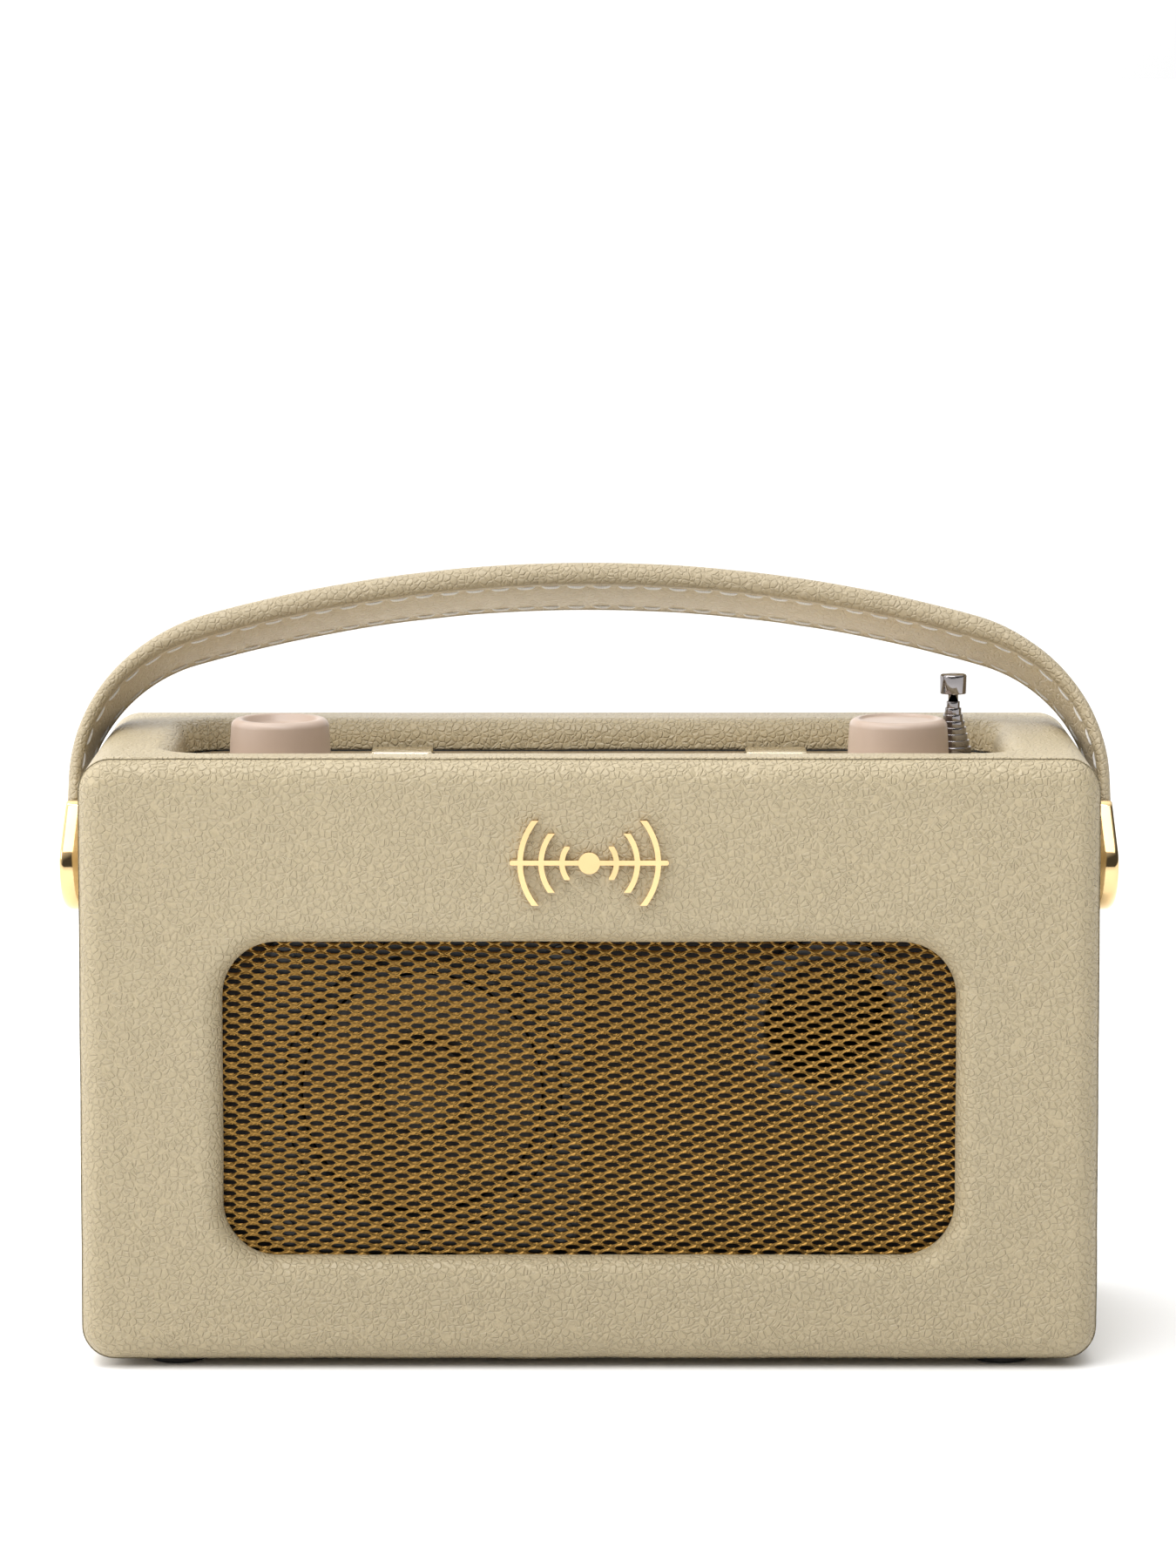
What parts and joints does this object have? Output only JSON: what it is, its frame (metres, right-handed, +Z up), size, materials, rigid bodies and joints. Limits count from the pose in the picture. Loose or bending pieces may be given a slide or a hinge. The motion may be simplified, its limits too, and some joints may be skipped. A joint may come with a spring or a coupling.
{
  "type": "portable radio",
  "caption": "Leather-covered portable radio with an arched carrying handle, gilt mesh grille, sunken control panel, telescopic aerial and rear battery door.",
  "frame": {"origin": "on the surface that the radio stands on, under the middle of the body", "axes": "+X to the right of the front, -Y out of the front face, +Z up"},
  "size_m": [0.2608, 0.1018, 0.1892],
  "materials": {
    "leather": "grained calf, satin",
    "wood": "plain plywood, unfinished",
    "fibreboard": "fine fibreboard, sealed",
    "gilt": "polished gilt",
    "gilt_mesh": "lacquered gilt mesh",
    "soft_touch": "soft-touch, champagne",
    "champagne": "satin champagne",
    "key_gilt": "satin metallised",
    "black_plastic": "fine-textured",
    "window": "polished, tinted",
    "display": "dark, glossy",
    "chrome": "polished",
    "steel": "zinc plated",
    "spring_steel": "blued strip",
    "ferrite": "dark sintered",
    "paper_cone": "pressed pulp",
    "rubber": "moulded",
    "circuit_board": "solder mask",
    "bush_brass": "turned"
  },
  "bodies": {
    "cabinet": {"cabinet_box": "wood", "front_frame": "fibreboard", "cover_front": "leather", "cover_body": "leather", "grille": "gilt_mesh", "feet": "rubber", "badge": "gilt", "speaker_baffle": "fibreboard", "driver_basket": "steel", "driver_surround": "rubber", "driver_magnet": "ferrite", "driver_screws": "steel", "bass_port": "black_plastic", "panel_chassis": "black_plastic", "control_panel": "champagne", "display_window": "window", "display_module": "display", "key_board": "circuit_board", "key_switches": "black_plastic", "encoders": "steel", "encoder_nuts": "steel", "aerial_bush": "bush_brass", "handle_bushes": "bush_brass", "back_panel": "black_plastic", "back_panel_screws": "steel", "battery_box": "black_plastic", "battery_contacts": "steel", "main_board": "circuit_board", "audio_sockets": "black_plastic", "dc_socket": "black_plastic", "usb_socket": "steel"},
    "handle": {"handle_strap": "leather", "handle_lining": "leather", "handle_core": "spring_steel", "handle_caps": "gilt", "handle_screws": "steel"},
    "volume_knob": {"volume_knob": "soft_touch", "volume_shaft": "steel"},
    "tuning_push": {"tuning_plunger": "black_plastic"},
    "tuning_knob": {"tuning_knob": "soft_touch", "tuning_shaft": "steel"},
    "aerial_base": {"aerial_base": "chrome"},
    "aerial_tip": {"aerial_tip": "chrome"},
    "battery_door": {"battery_door": "black_plastic"},
    "speaker_cone": {"speaker_cone": "paper_cone"},
    "key_left_1": {"key_left_1": "key_gilt"},
    "key_left_2": {"key_left_2": "key_gilt"},
    "key_left_3": {"key_left_3": "key_gilt"},
    "key_left_4": {"key_left_4": "key_gilt"},
    "key_right_1": {"key_right_1": "key_gilt"},
    "key_right_2": {"key_right_2": "key_gilt"},
    "key_right_3": {"key_right_3": "key_gilt"},
    "key_right_4": {"key_right_4": "key_gilt"},
    "aerial_section_1": {"aerial_section_1": "chrome"},
    "aerial_section_2": {"aerial_section_2": "chrome"},
    "aerial_section_3": {"aerial_section_3": "chrome"},
    "aerial_section_4": {"aerial_section_4": "chrome"},
    "aerial_section_5": {"aerial_section_5": "chrome"},
    "aerial_section_6": {"aerial_section_6": "chrome"},
    "aerial_section_7": {"aerial_section_7": "chrome"}
  },
  "joints": [
    {"name": "handle_swing", "type": "hinge", "parent": "cabinet", "child": "handle", "pos_m": [0, 0, 0.1157], "axis": [1, 0, 0], "range_deg": [0, 54]},
    {"name": "volume_turn", "type": "hinge", "parent": "cabinet", "child": "volume_knob", "pos_m": [-0.0765, 0, 0.14], "axis": [0, 0, 1], "range_deg": [-150, 150]},
    {"name": "tuning_press", "type": "slide", "parent": "cabinet", "child": "tuning_push", "axis": [0, 0, -1], "range_m": [0, 0.0006], "stiffness_N_per_m": 1500, "springref_m": -0.0005},
    {"name": "tuning_turn", "type": "hinge", "parent": "tuning_push", "child": "tuning_knob", "pos_m": [0.0765, 0, 0.14], "axis": [0, 0, 1], "continuous": true},
    {"name": "aerial_swivel", "type": "hinge", "parent": "cabinet", "child": "aerial_base", "pos_m": [0.0908, 0.0112, 0.1], "axis": [0, 0, 1], "continuous": true},
    {"name": "battery_door_hinge", "type": "hinge", "parent": "cabinet", "child": "battery_door", "pos_m": [0, 0.0466, 0.019], "axis": [-1, 0, 0], "range_deg": [0, 95]},
    {"name": "cone_travel", "type": "slide", "parent": "cabinet", "child": "speaker_cone", "axis": [0, -1, 0], "range_m": [-0.001, 0.001], "stiffness_N_per_m": 1500},
    {"name": "key_left_1_press", "type": "slide", "parent": "cabinet", "child": "key_left_1", "axis": [0, 0, -1], "range_m": [0, 0.0006], "stiffness_N_per_m": 1200, "springref_m": -0.0005},
    {"name": "key_left_2_press", "type": "slide", "parent": "cabinet", "child": "key_left_2", "axis": [0, 0, -1], "range_m": [0, 0.0006], "stiffness_N_per_m": 1200, "springref_m": -0.0005},
    {"name": "key_left_3_press", "type": "slide", "parent": "cabinet", "child": "key_left_3", "axis": [0, 0, -1], "range_m": [0, 0.0006], "stiffness_N_per_m": 1200, "springref_m": -0.0005},
    {"name": "key_left_4_press", "type": "slide", "parent": "cabinet", "child": "key_left_4", "axis": [0, 0, -1], "range_m": [0, 0.0006], "stiffness_N_per_m": 1200, "springref_m": -0.0005},
    {"name": "key_right_1_press", "type": "slide", "parent": "cabinet", "child": "key_right_1", "axis": [0, 0, -1], "range_m": [0, 0.0006], "stiffness_N_per_m": 1200, "springref_m": -0.0005},
    {"name": "key_right_2_press", "type": "slide", "parent": "cabinet", "child": "key_right_2", "axis": [0, 0, -1], "range_m": [0, 0.0006], "stiffness_N_per_m": 1200, "springref_m": -0.0005},
    {"name": "key_right_3_press", "type": "slide", "parent": "cabinet", "child": "key_right_3", "axis": [0, 0, -1], "range_m": [0, 0.0006], "stiffness_N_per_m": 1200, "springref_m": -0.0005},
    {"name": "key_right_4_press", "type": "slide", "parent": "cabinet", "child": "key_right_4", "axis": [0, 0, -1], "range_m": [0, 0.0006], "stiffness_N_per_m": 1200, "springref_m": -0.0005},
    {"name": "aerial_slide_1", "type": "slide", "parent": "aerial_base", "child": "aerial_section_1", "axis": [0, 0, 1], "range_m": [0, 0.086]},
    {"name": "aerial_slide_2", "type": "slide", "parent": "aerial_section_1", "child": "aerial_section_2", "axis": [0, 0, 1], "range_m": [0, 0.086]},
    {"name": "aerial_slide_3", "type": "slide", "parent": "aerial_section_2", "child": "aerial_section_3", "axis": [0, 0, 1], "range_m": [0, 0.086]},
    {"name": "aerial_slide_4", "type": "slide", "parent": "aerial_section_3", "child": "aerial_section_4", "axis": [0, 0, 1], "range_m": [0, 0.086]},
    {"name": "aerial_slide_5", "type": "slide", "parent": "aerial_section_4", "child": "aerial_section_5", "axis": [0, 0, 1], "range_m": [0, 0.086]},
    {"name": "aerial_slide_6", "type": "slide", "parent": "aerial_section_5", "child": "aerial_section_6", "axis": [0, 0, 1], "range_m": [0, 0.086]},
    {"name": "aerial_slide_7", "type": "slide", "parent": "aerial_section_6", "child": "aerial_section_7", "axis": [0, 0, 1], "range_m": [0, 0.086]},
    {"name": "aerial_slide_8", "type": "slide", "parent": "aerial_section_7", "child": "aerial_tip", "axis": [0, 0, 1], "range_m": [0, 0.086]}
  ],
  "couplings": [
    {"joint": "aerial_slide_2", "follows": "aerial_slide_1", "ratio": 1},
    {"joint": "aerial_slide_3", "follows": "aerial_slide_1", "ratio": 1},
    {"joint": "aerial_slide_4", "follows": "aerial_slide_1", "ratio": 1},
    {"joint": "aerial_slide_5", "follows": "aerial_slide_1", "ratio": 1},
    {"joint": "aerial_slide_6", "follows": "aerial_slide_1", "ratio": 1},
    {"joint": "aerial_slide_7", "follows": "aerial_slide_1", "ratio": 1},
    {"joint": "aerial_slide_8", "follows": "aerial_slide_1", "ratio": 1}
  ]
}
